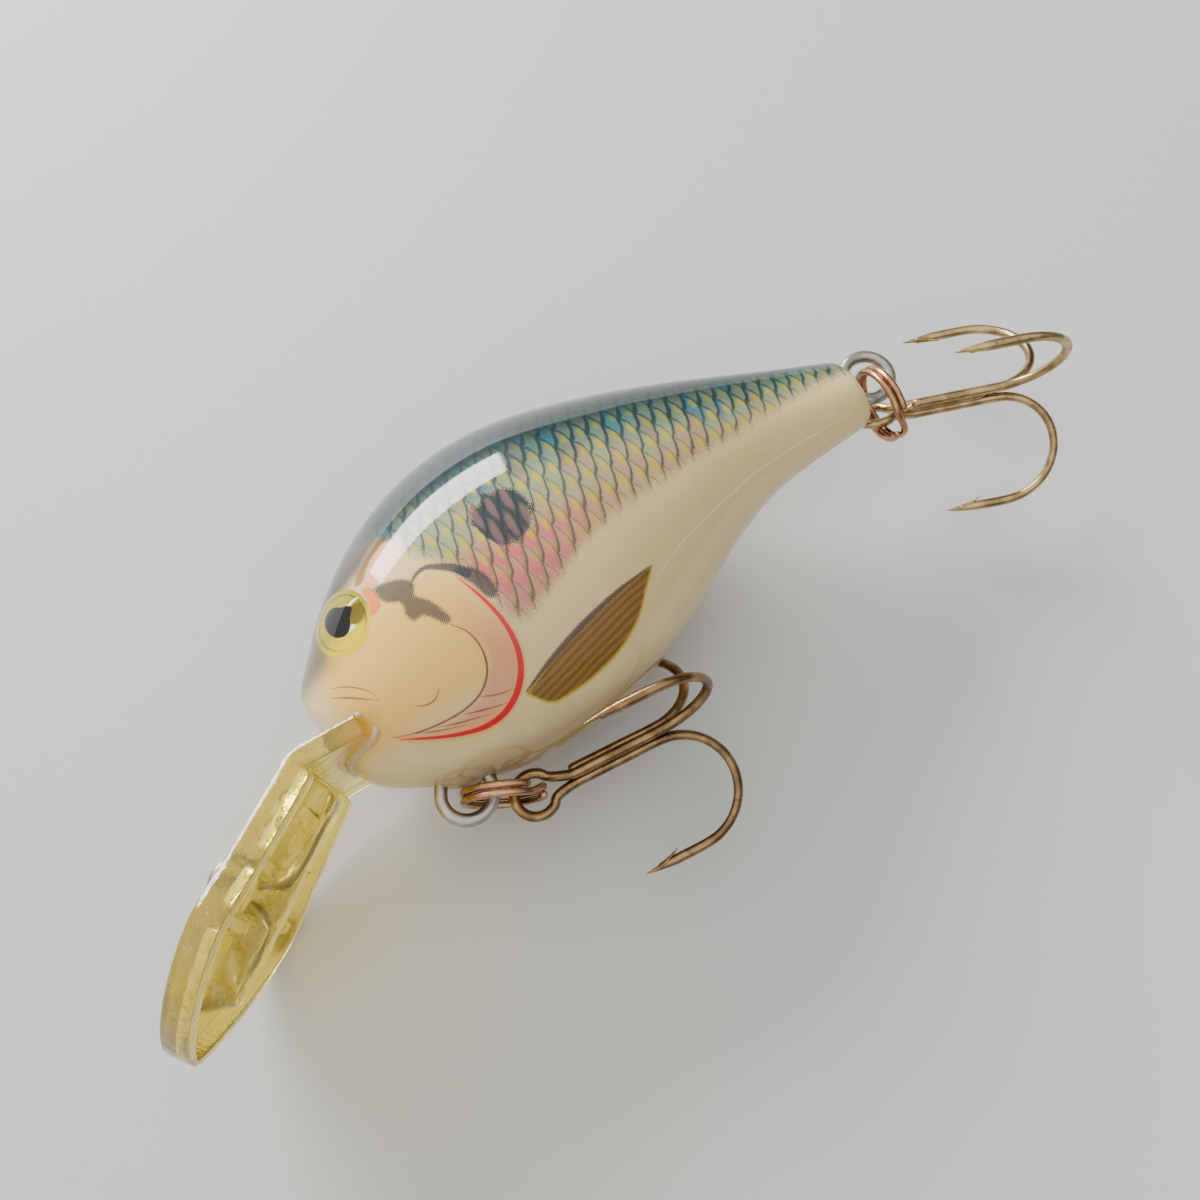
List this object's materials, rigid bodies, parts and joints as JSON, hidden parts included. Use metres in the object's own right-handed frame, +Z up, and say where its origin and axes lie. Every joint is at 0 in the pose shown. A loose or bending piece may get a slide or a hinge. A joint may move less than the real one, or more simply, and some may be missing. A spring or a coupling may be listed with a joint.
{
  "type": "crankbait lure",
  "caption": "Deep-bodied hard fishing lure with a ribbed clear diving lip, wire line tie and hangers, rattle balls inside, and treble hooks swinging on split rings.",
  "frame": {"origin": "middle of the bottom of the bounding box, with the lure lying on its right side as on a table", "axes": "+X from the snout to the tail, +Y from the belly to the back, +Z up, out of the lure's left side"},
  "size_m": [0.0864, 0.0366, 0.019],
  "materials": {
    "painted_shell": "pearl cream belly, blue-green scaled back and printed fish details under a clear gloss coat",
    "clear_amber_plastic": "clear amber-tinted polycarbonate, moulded glossy, scuffed at the leading edge",
    "cured_adhesive": "clear cured epoxy, slightly yellow",
    "steel_wire": "drawn stainless wire, dulled by use",
    "steel_ballast": "plain turned steel",
    "steel_ball": "polished bearing steel",
    "coppered_ring_wire": "spring steel wire with a coppery bronze lacquer",
    "bronzed_hook_wire": "forged high-carbon steel with a golden bronze lacquer, darker in the bends"
  },
  "bodies": {
    "lure_body": {"body_left": "painted_shell", "body_right": "painted_shell", "diving_lip": "clear_amber_plastic", "lip_adhesive": "cured_adhesive", "line_tie": "steel_wire", "belly_hanger": "steel_wire", "tail_hanger": "steel_wire", "ballast_weight": "steel_ballast"},
    "belly_ring": {"belly_split_ring": "coppered_ring_wire"},
    "belly_treble": {"belly_treble_double_hook": "bronzed_hook_wire", "belly_treble_third_hook": "bronzed_hook_wire"},
    "tail_ring": {"tail_split_ring": "coppered_ring_wire"},
    "tail_treble": {"tail_treble_double_hook": "bronzed_hook_wire", "tail_treble_third_hook": "bronzed_hook_wire"},
    "knocker": {"knocker_ball": "steel_ball"},
    "rattle_1": {"rattle_ball_1": "steel_ball"},
    "rattle_2": {"rattle_ball_2": "steel_ball"},
    "rattle_3": {"rattle_ball_3": "steel_ball"}
  },
  "joints": [
    {"name": "belly_ring_swing", "type": "hinge", "parent": "lure_body", "child": "belly_ring", "pos_m": [-0.01758, -0.00654, 0.0095], "axis": [0, 0, 1], "range_deg": [-60, 0]},
    {"name": "belly_treble_swing", "type": "hinge", "parent": "belly_ring", "child": "belly_treble", "pos_m": [-0.01282, -0.00866, 0.0076], "axis": [0.5872, -0.2614, 0.766], "range_deg": [-90, 0]},
    {"name": "tail_ring_swing", "type": "hinge", "parent": "lure_body", "child": "tail_ring", "pos_m": [0.02707, 0.00751, 0.0095], "axis": [0, 0, 1], "range_deg": [0, 130]},
    {"name": "tail_treble_swing", "type": "hinge", "parent": "tail_ring", "child": "tail_treble", "pos_m": [0.02698, 0.00498, 0.00658], "axis": [-0.0346, -0.9897, -0.1392], "range_deg": [-75, 45]},
    {"name": "knocker_roll", "type": "slide", "parent": "lure_body", "child": "knocker", "axis": [1, 0, 0], "range_m": [-0.0039, 0.0039]},
    {"name": "rattle_1_roll", "type": "slide", "parent": "lure_body", "child": "rattle_1", "axis": [1, 0, 0], "range_m": [-0.0011, 0.0011]},
    {"name": "rattle_2_roll", "type": "slide", "parent": "lure_body", "child": "rattle_2", "axis": [1, 0, 0], "range_m": [-0.0011, 0.0011]},
    {"name": "rattle_3_roll", "type": "slide", "parent": "lure_body", "child": "rattle_3", "axis": [1, 0, 0], "range_m": [-0.0011, 0.0011]}
  ]
}
